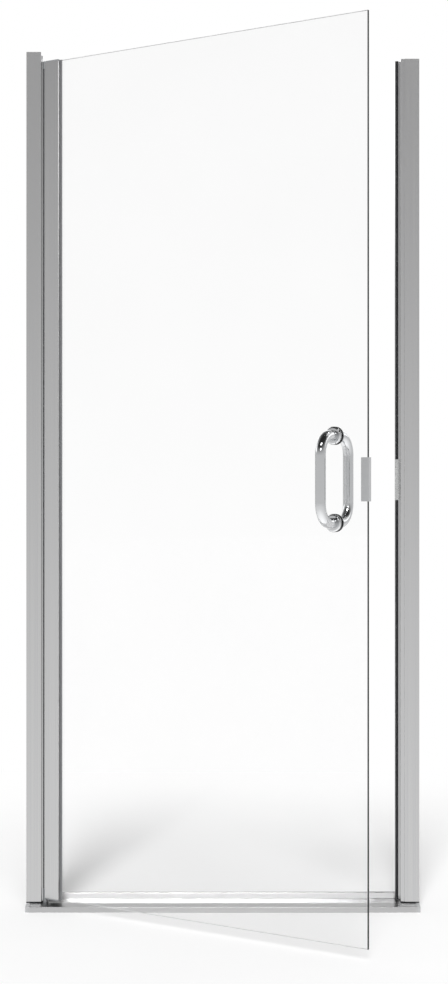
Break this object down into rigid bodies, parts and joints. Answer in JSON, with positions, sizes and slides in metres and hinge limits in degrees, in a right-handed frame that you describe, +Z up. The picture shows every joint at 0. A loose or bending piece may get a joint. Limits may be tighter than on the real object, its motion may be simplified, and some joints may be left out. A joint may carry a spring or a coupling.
{
  "type": "hinged shower door",
  "caption": "Semi-frameless hinged shower door: clear glass on a full-height hinge stile, between two wall jambs over a low sill, with back-to-back pulls and a magnetic catch.",
  "frame": {"origin": "underside of the sill, at the middle of its length, below the middle plane of the closed glass", "axes": "+X right along the sill, seen from outside; +Y into the shower; +Z up"},
  "size_m": [0.838, 0.438, 1.829],
  "materials": {
    "jamb_aluminium": "bright-dipped and anodised extrusion, satin sheen",
    "stile_aluminium": "bright-dipped and anodised extrusion, satin sheen",
    "sill_aluminium": "polished and anodised extrusion",
    "silver_plastic": "moulded and sprayed silver",
    "grey_plastic": "moulded dark grey, fine texture",
    "nylon": "moulded, natural grey",
    "black_foam": "closed-cell foam, matt",
    "black_rubber": "extruded, matt",
    "grey_vinyl": "extruded, satin",
    "clear_glass": "clear tempered glass with polished edges",
    "polished_chrome": "polished and chrome plated",
    "plated_steel": "zinc plated",
    "plain_steel": "turned",
    "catch_chrome": "polished and anodised",
    "magnet": "nickel-free ferrite, matt"
  },
  "bodies": {
    "frame": {"sill": "sill_aluminium", "sill_end_cap_left": "silver_plastic", "sill_end_cap_right": "silver_plastic", "hinge_wall_jamb": "jamb_aluminium", "strike_wall_jamb": "jamb_aluminium", "hinge_jamb": "jamb_aluminium", "strike_jamb": "jamb_aluminium", "hinge_liner": "nylon", "hinge_bottom_bearing": "nylon", "hinge_top_bearing": "nylon", "hinge_thrust_washer": "nylon", "hinge_foot_pad": "black_foam", "strike_foot_pad": "black_foam", "bumper_upper": "black_rubber", "bumper_lower": "black_rubber", "strike_plate": "plated_steel", "strike_plate_screws": "plated_steel", "hinge_jamb_screws": "plated_steel", "strike_jamb_screws": "plated_steel"},
    "door": {"glass_panel": "clear_glass", "hinge_stile": "stile_aluminium", "glazing_vinyl": "grey_vinyl", "stile_top_cap": "grey_plastic", "stile_bottom_cap": "grey_plastic", "pivot_pin_bottom": "plain_steel", "pivot_pin_top": "plain_steel", "front_handle": "polished_chrome", "rear_handle": "polished_chrome", "front_flanges": "polished_chrome", "rear_flanges": "polished_chrome", "front_gaskets": "black_rubber", "rear_gaskets": "black_rubber", "handle_studs": "plain_steel", "hole_bushes": "nylon", "handle_set_screws": "plated_steel", "catch_clip": "catch_chrome", "catch_magnet": "magnet", "catch_pad": "grey_vinyl"}
  },
  "joints": [
    {"name": "door_swing", "type": "hinge", "parent": "frame", "child": "door", "pos_m": [-0.3792, -0.0085, 0.9], "axis": [0, 0, 1], "range_deg": [-65, 30]}
  ]
}
